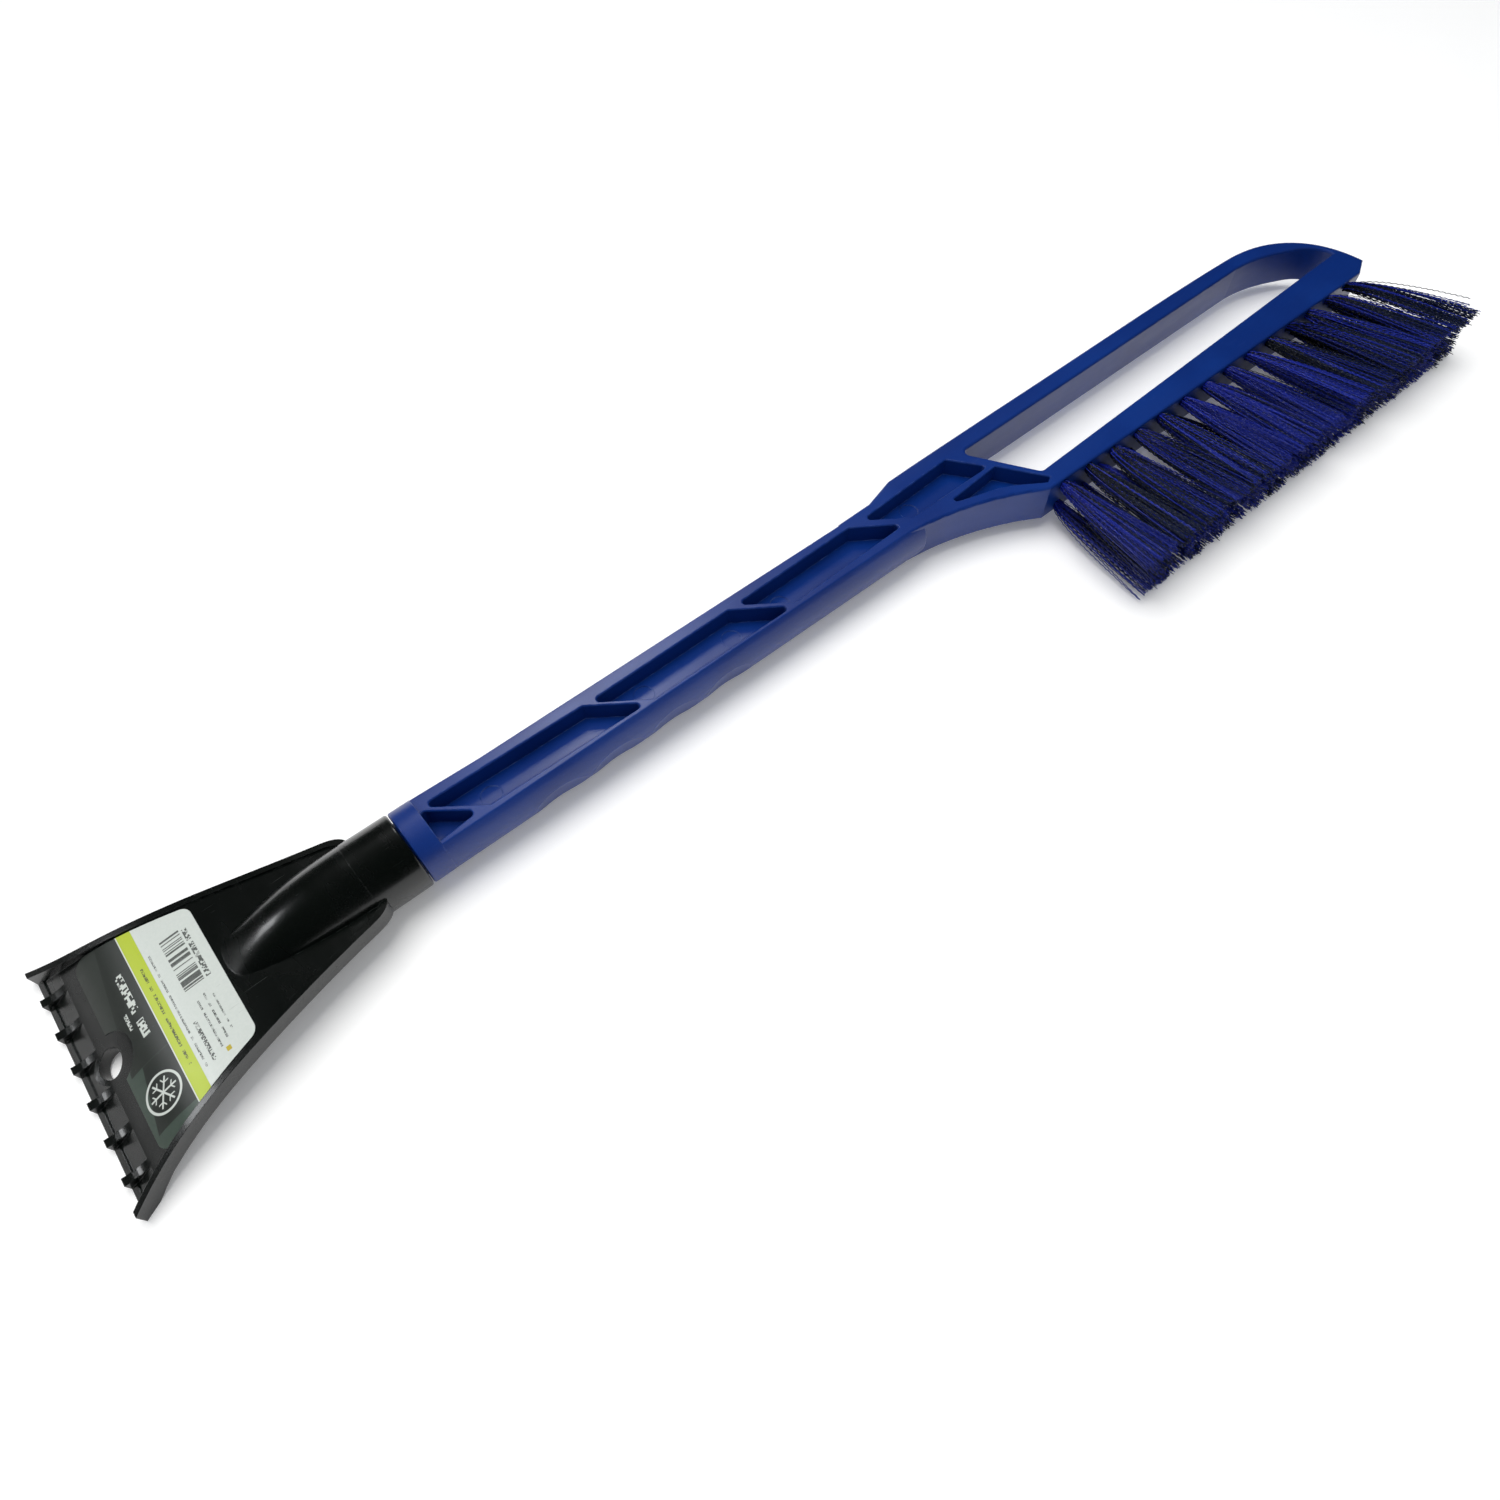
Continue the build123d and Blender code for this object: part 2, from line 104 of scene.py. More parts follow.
class Shader:
    """A Principled material whose other nodes are made by short calls."""

    MIX_FACTOR, MIX_FIRST, MIX_SECOND, MIX_RESULT = 0, 6, 7, 2

    def __init__(self, name, **surface):
        self.material = bpy.data.materials.new(name)
        self.material.use_nodes = True
        self.tree = self.material.node_tree
        self.surface = self.tree.nodes["Principled BSDF"]
        self.place = self.add("ShaderNodeTexCoord").outputs["Object"]
        self.finish(**surface)

    def add(self, kind, **settings):
        """Adds a node of this kind."""
        node = self.tree.nodes.new(kind)
        for name, value in settings.items():
            setattr(node, name, value)
        return node

    def feed(self, socket, value):
        """Links a socket to another one, or sets its value."""
        if isinstance(value, bpy.types.NodeSocket):
            self.tree.links.new(value, socket)
        else:
            socket.default_value = value

    def finish(self, **surface):
        """Feeds the Principled node's inputs; an underscore stands for a space."""
        for name, value in surface.items():
            self.feed(self.surface.inputs[name.replace("_", " ")], value)

    def math(self, operation, *values):
        """One Math node."""
        node = self.add("ShaderNodeMath", operation=operation)
        for socket, value in zip(node.inputs, values):
            self.feed(socket, value)
        return node.outputs[0]

    def window(self, value, low, high):
        """0 below low, 1 above high, smooth between; low may be the larger."""
        node = self.add("ShaderNodeMapRange", interpolation_type="SMOOTHSTEP")
        self.feed(node.inputs["Value"], value)
        node.inputs["From Min"].default_value = low
        node.inputs["From Max"].default_value = high
        return node.outputs["Result"]

    def scaled(self, value, low, high):
        """A value of 0 to 1, moved to the range low to high."""
        node = self.add("ShaderNodeMapRange")
        self.feed(node.inputs["Value"], value)
        node.inputs["To Min"].default_value = low
        node.inputs["To Max"].default_value = high
        return node.outputs["Result"]

    def mix(self, factor, first, second):
        """Colour between first and second."""
        node = self.add("ShaderNodeMix", data_type="RGBA")
        self.feed(node.inputs[self.MIX_FACTOR], factor)
        self.feed(node.inputs[self.MIX_FIRST], first)
        self.feed(node.inputs[self.MIX_SECOND], second)
        return node.outputs[self.MIX_RESULT]

    def noise(self, size, detail=3.0, stretch=(1, 1, 1), turn=(0, 0, 0)):
        """Noise whose features are about this size, stretched along some axes."""
        mapping = self.add("ShaderNodeMapping")
        self.feed(mapping.inputs["Vector"], self.place)
        mapping.inputs["Rotation"].default_value = [math.radians(angle) for angle in turn]
        mapping.inputs["Scale"].default_value = [1 / factor for factor in stretch]
        node = self.add("ShaderNodeTexNoise")
        self.feed(node.inputs["Vector"], mapping.outputs["Vector"])
        node.inputs["Scale"].default_value = 1 / size
        node.inputs["Detail"].default_value = detail
        return node.outputs["Fac"]

    def scratches(self, size, length, turn, share):
        """Thin straight marks: 1 on a mark, 0 elsewhere."""
        lines = self.noise(size, detail=1.0, stretch=(length, 1, 1), turn=(0, 0, turn))
        broken = self.noise(18 * MM, detail=2.0)
        thin = self.window(lines, 1 - share, 1 - share + 0.02)
        return self.math("MULTIPLY", thin, self.window(broken, 0.48, 0.62))

    def edges(self, radius):
        """1 along the piece's sharp edges, 0 on its flats, with the rounded normal."""
        rounded = self.add("ShaderNodeBevel", samples=6)
        rounded.inputs["Radius"].default_value = radius
        true_normal = self.add("ShaderNodeNewGeometry").outputs["Normal"]
        dot = self.add("ShaderNodeVectorMath", operation="DOT_PRODUCT")
        self.feed(dot.inputs[0], rounded.outputs["Normal"])
        self.feed(dot.inputs[1], true_normal)
        return self.window(dot.outputs["Value"], 0.995, 0.90), rounded.outputs["Normal"]

    def bump(self, height, distance, strength=1.0, normal=None):
        """Bump of this height in metres over a normal."""
        node = self.add("ShaderNodeBump")
        node.inputs["Strength"].default_value = strength
        node.inputs["Distance"].default_value = distance
        self.feed(node.inputs["Height"], height)
        if normal is not None:
            self.feed(node.inputs["Normal"], normal)
        return node.outputs["Normal"]


def srgb(red, green, blue):
    """A display colour of 0 to 255 as the linear RGBA that shaders take."""
    def linear(value):
        value = value / 255
        return value / 12.92 if value <= 0.04045 else ((value + 0.055) / 1.055) ** 2.4
    return (linear(red), linear(green), linear(blue), 1.0)


# ---- materials -------------------------------------------------------------

def handle_plastic():
    """Blue moulded polypropylene: satin skin, faint flow marks, painted highlights along its edges."""
    shader = Shader("blue_polypropylene", Specular_IOR_Level=0.45, Coat_Weight=0.12, Coat_Roughness=0.25)
    cloud = shader.noise(45 * MM, detail=3.0)
    flow = shader.noise(5 * MM, detail=4.0, stretch=(9, 1, 1))
    speckle = shader.noise(0.5 * MM, detail=2.0)
    base = shader.mix(shader.window(cloud, 0.35, 0.65), srgb(4, 43, 118), srgb(8, 51, 130))
    base = shader.mix(shader.scaled(flow, 0.0, 0.35), base, srgb(3, 34, 98))
    base = shader.mix(shader.scaled(shader.window(speckle, 0.55, 0.8), 0.0, 0.2), base, srgb(30, 70, 168))
    rim, rounded = shader.edges(0.5 * MM)
    # painted highlight: sharp edges lightened in noise-broken patches, standing in for light caught on
    # rounded rims
    painted_edge_highlight = shader.math("MULTIPLY", rim, shader.window(shader.noise(3 * MM, detail=4.0), 0.4, 0.68))
    base = shader.mix(shader.scaled(painted_edge_highlight, 0.0, 0.6), base, srgb(88, 116, 184))
    marks = shader.math(
        "MAXIMUM", shader.scratches(0.6 * MM, 60, 17, 0.27), shader.scratches(0.7 * MM, 45, -38, 0.25))
    base = shader.mix(shader.scaled(marks, 0.0, 0.16), base, srgb(80, 108, 180))
    rough = shader.scaled(flow, 0.30, 0.46)
    rough = shader.math("ADD", rough, shader.scaled(marks, 0.0, 0.12))
    grain = shader.noise(0.35 * MM, detail=3.0)
    sink = shader.noise(14 * MM, detail=1.0)
    normal = shader.bump(sink, 0.25 * MM, 0.5, rounded)
    normal = shader.bump(grain, 0.012 * MM, 0.7, normal)
    normal = shader.bump(shader.math("SUBTRACT", 1.0, marks), 0.008 * MM, 0.5, normal)
    shader.finish(Base_Color=base, Roughness=rough, Normal=normal)
    return shader.material


def head_plastic():
    """Black glossy polypropylene with a green cast, fine swirls and painted highlights along its edges."""
    shader = Shader("black_polypropylene", Specular_IOR_Level=0.5, Coat_Weight=0.2, Coat_Roughness=0.08)
    cloud = shader.noise(30 * MM, detail=3.0)
    speckle = shader.noise(0.4 * MM, detail=2.0)
    base = shader.mix(cloud, srgb(6, 9, 8), srgb(12, 16, 14))
    base = shader.mix(shader.scaled(shader.window(speckle, 0.6, 0.8), 0.0, 0.3), base, srgb(24, 30, 27))
    rim, rounded = shader.edges(0.35 * MM)
    # painted highlight: sharp edges lightened in noise-broken patches, standing in for light caught on
    # rounded rims
    painted_edge_highlight = shader.math("MULTIPLY", rim, shader.window(shader.noise(2.5 * MM, detail=4.0), 0.35, 0.7))
    base = shader.mix(shader.scaled(painted_edge_highlight, 0.0, 0.5), base, srgb(74, 80, 78))
    marks = shader.math(
        "MAXIMUM", shader.scratches(0.5 * MM, 50, 8, 0.26), shader.scratches(0.5 * MM, 50, 71, 0.25))
    base = shader.mix(shader.scaled(marks, 0.0, 0.3), base, srgb(52, 60, 56))
    swirl = shader.noise(9 * MM, detail=5.0, stretch=(1, 3, 1))
    rough = shader.scaled(swirl, 0.16, 0.36)
    rough = shader.math("ADD", rough, shader.scaled(marks, 0.0, 0.15))
    normal = shader.bump(shader.noise(10 * MM, detail=1.0), 0.2 * MM, 0.4, rounded)
    normal = shader.bump(shader.noise(0.3 * MM, detail=3.0), 0.008 * MM, 0.6, normal)
    shader.finish(Base_Color=base, Roughness=rough, Normal=normal)
    return shader.material


def bristle_plastic():
    """Crimped strands: each one's colour share, shade and run are in its vertices."""
    shader = Shader("bristle_filament", Specular_IOR_Level=0.65)
    facts = shader.add("ShaderNodeAttribute", attribute_name="strand")
    split = shader.add("ShaderNodeSeparateColor")
    shader.feed(split.inputs["Color"], facts.outputs["Color"])
    blue_share, shade, run = split.outputs
    dark = shader.mix(shade, srgb(5, 7, 10), srgb(22, 28, 30))
    blue = shader.mix(shade, srgb(12, 20, 104), srgb(30, 48, 178))
    base = shader.mix(blue_share, dark, blue)
    base = shader.mix(shader.scaled(run, 0.0, 0.22), base, srgb(50, 66, 128))
    streak = shader.noise(0.5 * MM, detail=2.0, stretch=(1, 8, 1))
    base = shader.mix(shader.scaled(streak, 0.0, 0.2), base, srgb(6, 8, 20))
    rough = shader.scaled(shader.noise(1.2 * MM, detail=2.0), 0.16, 0.34)
    normal = shader.bump(streak, 0.01 * MM, 0.5)
    shader.finish(Base_Color=base, Roughness=rough, Normal=normal)
    return shader.material


def staple_steel():
    """Drawn flat wire with fine lines and a dull tarnish."""
    shader = Shader("staple_steel", Metallic=1.0)
    lines = shader.noise(0.12 * MM, detail=3.0, stretch=(30, 1, 1))
    tarnish = shader.noise(1.2 * MM, detail=4.0)
    base = shader.mix(lines, srgb(150, 150, 148), srgb(196, 196, 192))
    base = shader.mix(shader.window(tarnish, 0.5, 0.75), base, srgb(120, 108, 92))
    shader.finish(Base_Color=base, Roughness=shader.scaled(tarnish, 0.25, 0.5),
                  Normal=shader.bump(lines, 0.01 * MM, 0.6))
    return shader.material


class LabelPrint(Shader):
    """Shapes printed on the label, in millimetres from its front edge and middle."""

    SOFT = 0.06

    def __init__(self, name, **surface):
        super().__init__(name, **surface)
        low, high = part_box("label")
        mapping = self.add("ShaderNodeMapping")
        self.feed(mapping.inputs["Vector"], self.place)
        mapping.inputs["Scale"].default_value = (1 / MM, 1 / MM, 1 / MM)
        mapping.inputs["Location"].default_value = (-low.x / MM, -(low.y + high.y) / 2 / MM, 0)
        split = self.add("ShaderNodeSeparateXYZ")
        self.feed(split.inputs["Vector"], mapping.outputs["Vector"])
        self.along, self.across = split.outputs[0], split.outputs[1]

    def above(self, value, limit):
        """1 where the value is over the limit."""
        return self.window(value, limit - self.SOFT, limit + self.SOFT)

    def both(self, *masks):
        """1 where every mask is 1."""
        result = masks[0]
        for mask in masks[1:]:
            result = self.math("MULTIPLY", result, mask)
        return result

    def either(self, *masks):
        """1 where any mask is 1."""
        result = masks[0]
        for mask in masks[1:]:
            result = self.math("MAXIMUM", result, mask)
        return result

    def band(self, value, low, high):
        """1 between low and high."""
        return self.both(self.above(value, low), self.window(value, high + self.SOFT, high - self.SOFT))

    def block(self, along, across):
        """A filled rectangle."""
        return self.both(self.band(self.along, *along), self.band(self.across, *across))

    def cells(self, value, pitch, salt):
        """The number of the cell that a value falls in, moved on by a salt."""
        return self.math("ADD", self.math("FLOOR", self.math("DIVIDE", value, pitch)), salt)

    def words(self, along, across, pitch, salt):
        """A line of meaningless speckled marks in groups, as a stand-in for print."""
        gaps = self.add("ShaderNodeTexWhiteNoise", noise_dimensions="1D")
        self.feed(gaps.inputs["W"], self.cells(self.across, pitch, salt))
        fleck_size = (along[1] - along[0]) / 3
        place = self.add("ShaderNodeCombineXYZ")
        self.feed(place.inputs["X"], self.cells(self.along, fleck_size, salt))
        self.feed(place.inputs["Y"], self.cells(self.across, fleck_size * 0.8, salt))
        flecks = self.add("ShaderNodeTexWhiteNoise", noise_dimensions="2D")
        self.feed(flecks.inputs["Vector"], place.outputs["Vector"])
        inked = self.above(flecks.outputs["Value"], 0.38)
        return self.both(self.block(along, across), self.above(gaps.outputs["Value"], 0.2), inked)

    def ring(self, centre, radius, width):
        """A circle's line."""
        return self.band(self.distance(centre), radius - width / 2, radius + width / 2)

    def distance(self, centre):
        """Distance from a point."""
        dx = self.math("SUBTRACT", self.along, centre[0])
        dy = self.math("SUBTRACT", self.across, centre[1])
        squares = self.math("ADD", self.math("MULTIPLY", dx, dx), self.math("MULTIPLY", dy, dy))
        return self.math("SQRT", squares)

    def star(self, centre, reach, width):
        """A plain six-armed ice star with a short bar across each arm."""
        dx = self.math("SUBTRACT", self.along, centre[0])
        dy = self.math("SUBTRACT", self.across, centre[1])
        turn = self.math("ARCTAN2", dy, dx)
        fold = self.math("PINGPONG", turn, math.radians(30))
        far = self.distance(centre)
        side = self.math("MULTIPLY", far, self.math("SINE", fold))
        out = self.math("MULTIPLY", far, self.math("COSINE", fold))
        arm = self.both(self.window(side, width + self.SOFT, width - self.SOFT), self.band(out, -1, reach))
        lean = self.math("SUBTRACT", out, self.math("MULTIPLY", side, 0.6))
        bar = self.both(self.band(lean, reach * 0.55, reach * 0.55 + 1.6 * width),
                        self.window(side, reach * 0.3 + self.SOFT, reach * 0.3 - self.SOFT))
        return self.either(arm, bar)


def label_film():
    """Printed satin film: white panel, lime stripe and dark panel, generic marks."""
    label = LabelPrint("label_film", Specular_IOR_Level=0.5, Coat_Weight=0.15, Coat_Roughness=0.3)
    stripe_start, white_start = 15.4, 19.7
    pale_line, panel_skew, corner_skew = 0.35, 0.16, -0.22
    border = label.mix(label.window(label.across, 12.0, -12.0), srgb(40, 46, 41), srgb(60, 76, 66))
    border = label.mix(label.scaled(label.noise(2 * MM), 0.0, 0.3), border, srgb(30, 36, 32))
    dark = label.mix(label.noise(1 * MM), srgb(20, 26, 21), srgb(28, 35, 29))
    front_line = label.math("SUBTRACT", label.along, label.math("MULTIPLY", label.across, panel_skew))
    corner = label.math("ADD", label.along, label.math("MULTIPLY", label.across, corner_skew))
    panel = label.either(
        label.both(label.above(front_line, 3.0), label.above(label.across, -9.8)),
        label.both(label.above(corner, 7.9), label.above(label.across, -29.7),
                   label.window(label.across, -9.4, -10.2)))
    base = label.mix(panel, border, dark)
    white = srgb(206, 212, 206)
    base = label.mix(label.band(label.along, stripe_start - pale_line, stripe_start), base, white)
    base = label.mix(label.band(label.along, stripe_start, white_start), base, srgb(176, 194, 24))
    paper = label.mix(label.noise(0.8 * MM), srgb(200, 208, 202), srgb(213, 218, 213))
    base = label.mix(label.above(label.along, white_start), base, paper)

    title = label.words((9.8, 12.2), (-3.4, 19.9), 2.9, 3.0)
    subtitle = label.words((7.3, 8.4), (2.0, 9.0), 1.9, 8.0)
    emblem_centre = (7.9, -20.8)
    emblem = label.either(label.ring(emblem_centre, 5.6, 0.7), label.star(emblem_centre, 4.4, 0.26))
    base = label.mix(label.either(title, subtitle, emblem), base, white)

    ink = srgb(24, 28, 26)
    slogan = label.words((17.3, 18.1), (-20.0, 16.0), 1.5, 14.0)
    thin_bar = label.add("ShaderNodeTexWhiteNoise", noise_dimensions="1D")
    label.feed(thin_bar.inputs["W"], label.math("FLOOR", label.math("DIVIDE", label.across, 0.33)))
    bars = label.both(label.block((25.2, 31.4), (-0.8, 20.4)), label.above(thin_bar.outputs["Value"], 0.45))
    digits = label.words((32.1, 33.6), (0.0, 19.5), 1.1, 21.0)
    notes = label.either(
        label.words((20.9, 21.5), (-24.0, 18.0), 1.2, 31.0),
        label.words((23.2, 24.4), (-24.0, -10.0), 1.8, 35.0),
        label.words((26.7, 27.3), (-22.0, -5.0), 1.2, 41.0),
        label.words((29.0, 29.6), (-20.5, -4.0), 1.3, 46.0),
        label.words((31.2, 31.7), (-19.0, -6.0), 1.2, 53.0))
    faded = label.scaled(label.noise(0.6 * MM), 0.7, 1.0)
    print_mask = label.math("MULTIPLY", label.either(slogan, bars, digits, notes), faded)
    base = label.mix(print_mask, base, ink)
    gold = label.block((27.6, 29.0), (-24.4, -22.9))
    base = label.mix(gold, base, srgb(186, 168, 40))

    scuffs = label.scratches(0.5 * MM, 40, 25, 0.27)
    base = label.mix(label.scaled(scuffs, 0.0, 0.25), base, srgb(120, 126, 120))
    rough = label.math("ADD", label.scaled(label.noise(4 * MM), 0.28, 0.42), label.scaled(scuffs, 0.0, 0.2))
    normal = label.bump(label.noise(7 * MM, detail=2.0), 0.08 * MM, 0.6)
    normal = label.bump(label.noise(0.25 * MM, detail=3.0), 0.006 * MM, 0.5, normal)
    label.finish(Base_Color=base, Roughness=rough, Normal=normal)
    return label.material


def floor_paper():
    """Seamless white studio paper."""
    shader = Shader("studio_paper", Roughness=0.9, Specular_IOR_Level=0.1)
    tone = shader.noise(300 * MM, detail=2.0)
    paper = shader.mix(tone, srgb(250, 250, 250), srgb(253, 253, 253))
    shader.finish(Base_Color=paper, Emission_Color=paper, Emission_Strength=PAPER_GLOW)
    return shader.material


def dress(node, material):
    """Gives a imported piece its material."""
    for material_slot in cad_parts[node].material_slots:
        material_slot.material = material


# ---- tufts -------------------------------------------------------------------

def tuft_ends(node):
    """Middle of a tuft's root end and of its tip end, with the tip's half sizes."""
    low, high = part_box(node)
    points = np.array([vertex.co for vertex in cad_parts[node].data.vertices])

    def end_box(mask):
        return points[mask].min(axis=0), points[mask].max(axis=0)

    tip_low, tip_high = end_box(points[:, 1] < low.y + END_SLICE)
    root_low, root_high = end_box(points[:, 1] > high.y - END_SLICE)
    return (root_low + root_high) / 2, (tip_low + tip_high) / 2, (tip_high - tip_low) / 2


def strand_lines(rng, root, tips, roots, bow):
    """Crimped centre lines of strands, from their roots to their tips."""
    count = len(tips)
    length = np.linalg.norm(tips - roots, axis=1).mean()
    waves = length / CRIMP_LENGTH
    steps = int(waves * POINTS_PER_CRIMP) + 1
    run = np.linspace(0, 1, steps)[None, :, None]
    in_hole = abs(bar_face_y - root[1]) / length
    fan = np.clip((run - in_hole) / (1 - in_hole), 0, 1) ** FAN_POWER
    lines = roots[:, None, :] * (1 - fan) + tips[:, None, :] * fan
    lines[:, :, 1] = roots[:, None, 1] * (1 - run[:, :, 0]) + tips[:, None, 1] * run[:, :, 0]
    lines += bow[:, None, :] * np.sin(math.pi * fan)
    turn = rng.uniform(0, 2 * math.pi, count)
    side = np.stack([np.cos(turn), np.zeros(count), np.sin(turn)], axis=1)[:, None, :]
    phase = rng.uniform(0, 2 * math.pi, count)[:, None, None]
    pace = rng.uniform(0.9, 1.12, count)[:, None, None]
    grown = np.clip(fan / FLARE_SHARE, 0, 1)
    lines += side * CRIMP_HEIGHT * grown * np.sin(2 * math.pi * waves * pace * run + phase)
    return lines


def strand_mesh(name, lines, facts):
    """One mesh of closed thin tubes along the lines."""
    count, steps, _ = lines.shape
    along = np.gradient(lines, axis=1)
    along /= np.linalg.norm(along, axis=2, keepdims=True)
    first = np.cross(along, (0, 0, 1.0))
    first /= np.linalg.norm(first, axis=2, keepdims=True)
    second = np.cross(along, first)
    taper = np.ones(steps)
    taper[-1] = 0.75
    rings = []
    for corner in range(STRAND_SIDES):
        angle = 2 * math.pi * corner / STRAND_SIDES
        offset = math.cos(angle) * first + math.sin(angle) * second
        rings.append(lines + STRAND_RADIUS * taper[None, :, None] * offset)
    points = np.stack(rings, axis=2)
    points[:, :, :, 2] = np.maximum(points[:, :, :, 2], floor_z)
    index = np.arange(count * steps * STRAND_SIDES).reshape(count, steps, STRAND_SIDES)
    turned = np.roll(index, -1, axis=2)
    walls = np.stack([index[:, :-1], turned[:, :-1], turned[:, 1:], index[:, 1:]], axis=-1)
    caps = np.concatenate([index[:, 0, ::-1], index[:, -1]])
    mesh = bpy.data.meshes.new(name)
    mesh.from_pydata(points.reshape(-1, 3).tolist(), [], walls.reshape(-1, 4).tolist() + caps.tolist())
    mesh.shade_smooth()
    colours = np.ones((count, steps, STRAND_SIDES, 4))
    colours[..., 0] = facts[:, 0, None, None]
    colours[..., 1] = facts[:, 1, None, None]
    colours[..., 2] = np.linspace(0, 1, steps)[None, :, None]
    layer = mesh.color_attributes.new("strand", "FLOAT_COLOR", "POINT")
    layer.data.foreach_set("color", colours.ravel())
    return mesh


def scattered_tips(rng, tip, half):
    """Tip places of a tuft's strands, in loose clumps inside the tip's rectangle."""
    reach = half[[0, 2]] - STRAND_RADIUS - CRIMP_HEIGHT
    clumps = rng.uniform(-1, 1, (CLUMPS_PER_TUFT, 2)) * reach
    member = rng.integers(0, CLUMPS_PER_TUFT, STRANDS_PER_TUFT)
    offset = clumps[member] + rng.normal(0, CLUMP_SPREAD, (STRANDS_PER_TUFT, 2))
    loose = rng.random(STRANDS_PER_TUFT) < LOOSE_SHARE
    offset[loose] = rng.uniform(-1, 1, (loose.sum(), 2)) * reach
    offset = np.clip(offset, -reach, reach)
    trim = np.abs(rng.normal(0, TRIM_UNEVENNESS, STRANDS_PER_TUFT))
    longer = rng.random(STRANDS_PER_TUFT) < LONG_STRAND_SHARE
    trim[longer] = -rng.uniform(0, LONG_STRAND_EXTRA, longer.sum())
    return offset, tip + np.stack([offset[:, 0], trim, offset[:, 1]], axis=1)


def make_tuft(node, order, lean_room):
    """A bundle of crimped strands in place of one tuft's solid."""
    rng = np.random.default_rng(SEED + order)
    root, tip, half = tuft_ends(node)
    offset, tips = scattered_tips(rng, tip, half)
    tips[:, 0] += np.clip(rng.normal(0, LEAN), -lean_room[0], lean_room[1])
    inner = offset / half[[0, 2]] + rng.normal(0, 0.35, offset.shape)
    inner /= np.maximum(1, np.linalg.norm(inner, axis=1, keepdims=True))
    roots = root + ROOT_SPREAD * np.stack([inner[:, 0], np.zeros(len(inner)), inner[:, 1]], axis=1)
    tuft_bow = rng.normal(0, BOW, 2)
    bow = np.zeros_like(tips)
    bow[:, [0, 2]] = tuft_bow * (1, 0.3) + rng.normal(0, BOW / 2, (len(tips), 2)) * (1, 0.5)
    lines = strand_lines(rng, root, tips, roots, bow)
    blueness = rng.choice(TUFT_MIXES)
    facts = np.stack([rng.random(len(tips)) < blueness, rng.random(len(tips))], axis=1).astype(float)
    name = node.replace("tuft", "bristles")
    piece = bpy.data.objects.new(name, strand_mesh(name, lines, facts))
    bpy.context.scene.collection.objects.link(piece)
    piece.data.materials.append(bristle)
    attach(piece, BODY)
    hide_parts(node)


def add_strays(node):
    """A few loose strands that fan out past the last tuft."""
    rng = np.random.default_rng(SEED)
    root, tip, half = tuft_ends(node)
    far_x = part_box(node)[1].x
    reach = np.linspace(0.1, 1.0, STRAY_COUNT) * STRAY_REACH
    tips = np.stack([
        far_x - 3 * MM + reach,
        tip[1] + rng.uniform(0.4, 5.0, STRAY_COUNT) * MM + reach * 0.6,
        tip[2] + rng.uniform(-2.0, 3.0, STRAY_COUNT) * MM], axis=1)
    roots = np.repeat((root + (ROOT_SPREAD * 0.6, 0, 0))[None, :], STRAY_COUNT, axis=0)
    roots[:, [0, 2]] += rng.uniform(-0.6, 0.6, (STRAY_COUNT, 2)) * MM
    bow = np.zeros_like(tips)
    bow[:, 0] = rng.uniform(0.2, 1.2, STRAY_COUNT) * MM
    lines = strand_lines(rng, root, tips, roots, bow)
    facts = np.stack([rng.random(STRAY_COUNT) < 0.3, rng.random(STRAY_COUNT)], axis=1).astype(float)
    piece = bpy.data.objects.new("stray_bristles", strand_mesh("stray_bristles", lines, facts))
    bpy.context.scene.collection.objects.link(piece)
    piece.data.materials.append(bristle)
    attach(piece, BODY)


# ---- camera and lights first -------------------------------------------------
camera = bpy.data.objects.new("camera", bpy.data.cameras.new("camera"))
bpy.context.scene.collection.objects.link(camera)
camera.data.lens = CAMERA_LENS_MM
camera.data.sensor_width = CAMERA_SENSOR_MM
camera.data.clip_start = 0.01
turned = (Matrix.Rotation(-CAMERA_HEADING, 4, "Z")
          @ Matrix.Rotation(math.pi / 2 - CAMERA_PITCH, 4, "X")
          @ Matrix.Rotation(CAMERA_ROLL, 4, "Z"))
camera.matrix_world = Matrix.Translation(CAMERA_PLACE) @ turned
bpy.context.scene.camera = camera

middle = (Vector(cad_box[0]) + Vector(cad_box[1])) / 2


def soft_box(name, offset, size, power, tint, shows_in_gloss=False, lights_mat=True):
    """A square area light at an offset from the tool's middle, aimed at it."""
    light = bpy.data.lights.new(name, "AREA")
    light.shape = "SQUARE"
    light.size = size
    light.energy = power
    light.color = tint
    lamp = bpy.data.objects.new(name, light)
    lamp.location = middle + Vector(offset)
    lamp.rotation_euler = (-Vector(offset)).to_track_quat("-Z", "Y").to_euler()
    lamp.visible_glossy = shows_in_gloss
    lamp.visible_diffuse = lights_mat
    bpy.context.scene.collection.objects.link(lamp)


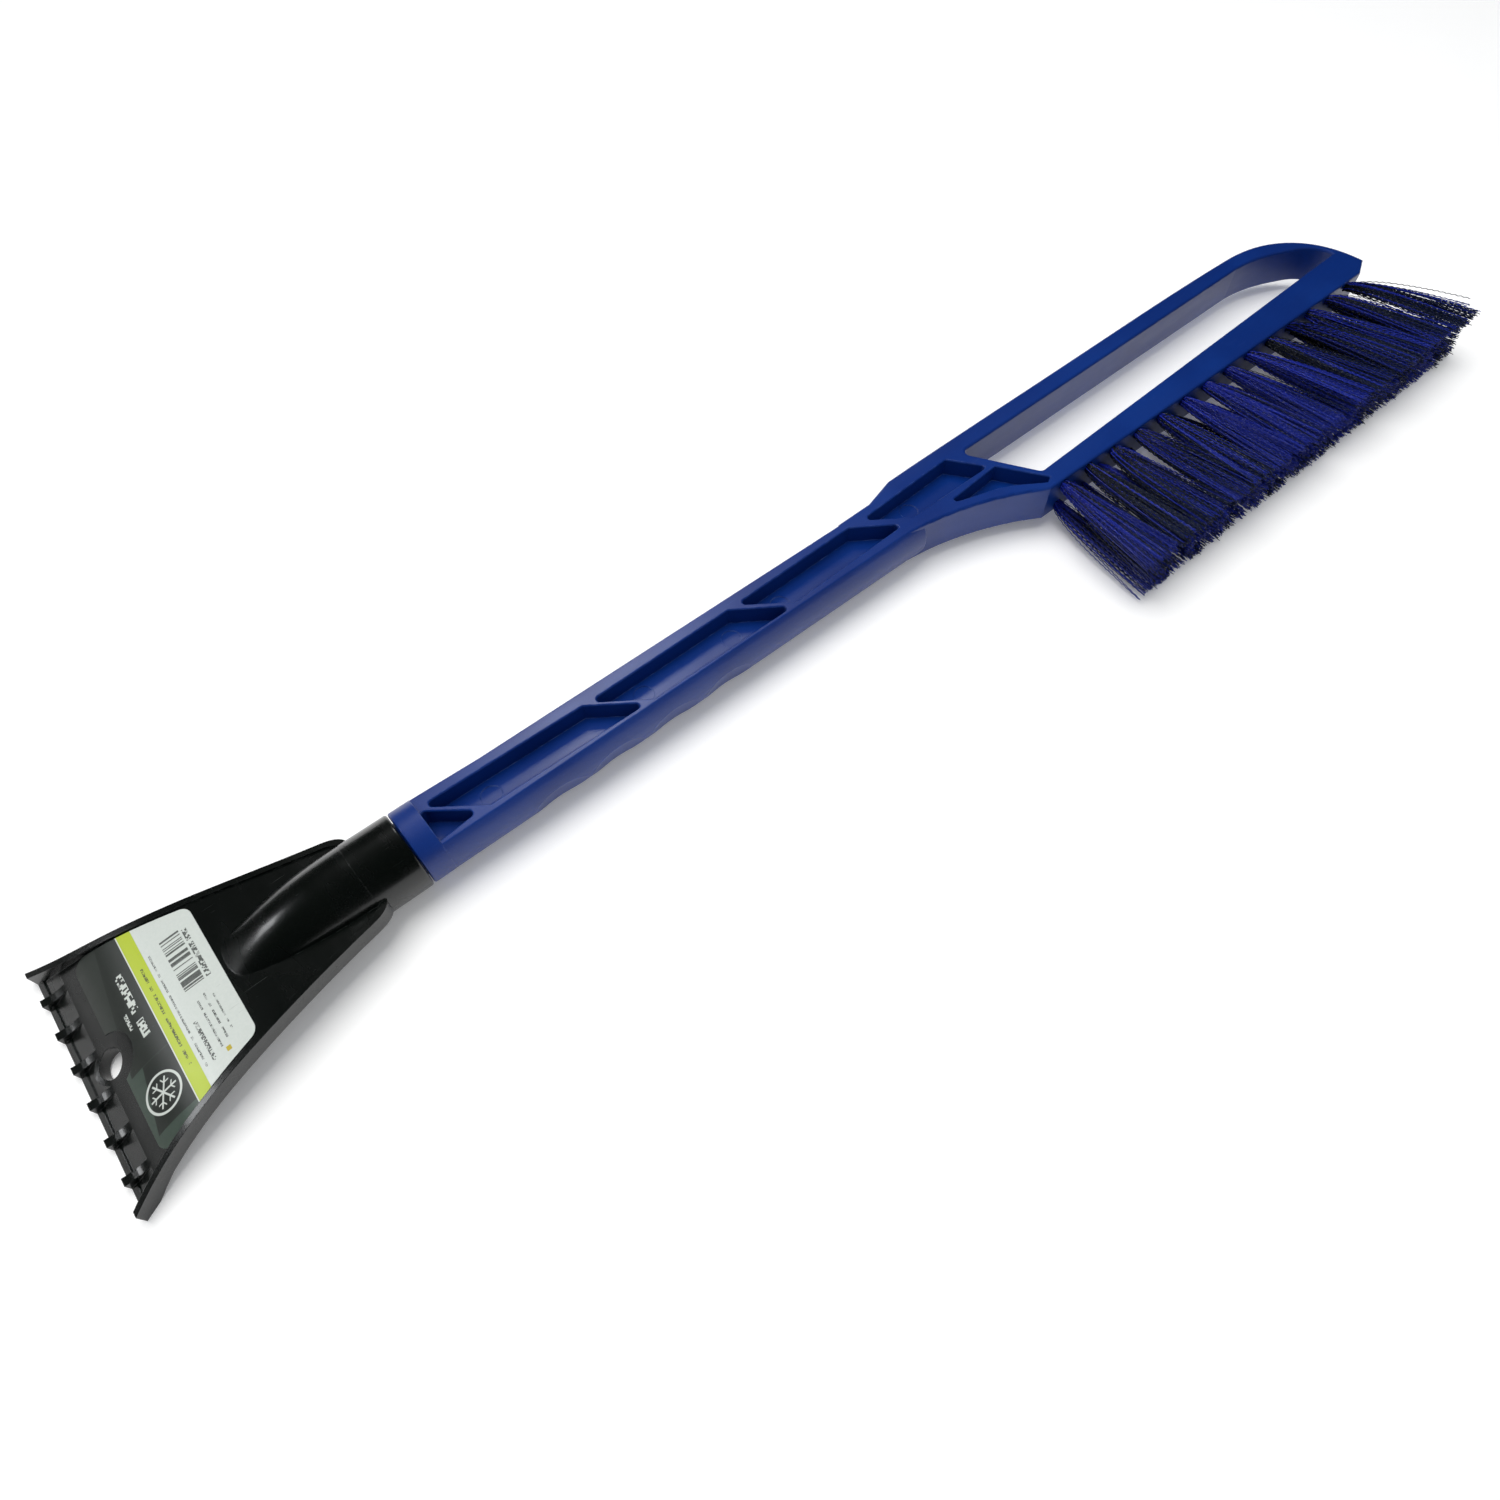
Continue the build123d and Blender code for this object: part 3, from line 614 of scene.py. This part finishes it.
# wide lights that only brighten mat surfaces, and small ones seen only as reflections
soft_box("key_light", (-0.10, 0.36, 1.35), 1.1, 17.0, (1.0, 0.99, 0.97))
soft_box("fill_light", (0.5, -0.9, 1.1), 1.6, 2.5, (0.96, 0.98, 1.0))
soft_box("top_glint", (0.25, 0.9, 1.1), 0.30, 5.0, (1.0, 1.0, 1.0), shows_in_gloss=True, lights_mat=False)
soft_box("side_glint", (-0.9, 0.5, 0.75), 0.22, 1.6, (0.96, 0.98, 1.0), shows_in_gloss=True, lights_mat=False)
soft_box("horizon_card", (-1.6, 0.9, 0.2), 0.7, 0.9, (1.0, 1.0, 1.0), shows_in_gloss=True, lights_mat=False)
world = bpy.data.worlds.new("studio")
world.use_nodes = True
world.node_tree.nodes["Background"].inputs["Color"].default_value = (0.93, 0.96, 1.0, 1.0)
world.node_tree.nodes["Background"].inputs["Strength"].default_value = SKY_STRENGTH
bpy.context.scene.world = world
world.cycles_visibility.glossy = False
bpy.context.scene.view_settings.view_transform = "Standard"

# ---- floor -----------------------------------------------------------------
floor_mesh = bpy.data.meshes.new("floor")
floor_z = Vector(cad_box[0]).z
corners = [(x * FLOOR_HALF, y * FLOOR_HALF, floor_z) for x, y in ((-1, -1), (1, -1), (1, 1), (-1, 1))]
floor_mesh.from_pydata(corners, [], [(0, 1, 2, 3)])
floor_mesh.materials.append(floor_paper())
floor = bpy.data.objects.new("floor", floor_mesh)
bpy.context.scene.collection.objects.link(floor)

# ---- the tool ---------------------------------------------------------------
steel = staple_steel()
bristle = bristle_plastic()
dress("scraper_head", head_plastic())
dress("handle_frame", handle_plastic())
dress("label", label_film())
node_names = sorted(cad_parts)
for name in node_names:
    if name.startswith("staples_"):
        dress(name, steel)

tufts = [name for name in node_names if name.startswith("tuft_")]
bar_face_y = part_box("handle_frame")[0].y
first_x = min(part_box(name)[0].x for name in tufts)
last_x = max(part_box(name)[1].x for name in tufts)
for order, name in enumerate(tufts):
    low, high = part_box(name)
    make_tuft(name, order, (low.x - first_x, last_x - high.x))
add_strays(max((name for name in tufts if "_top_" in name), key=lambda name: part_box(name)[1].x))
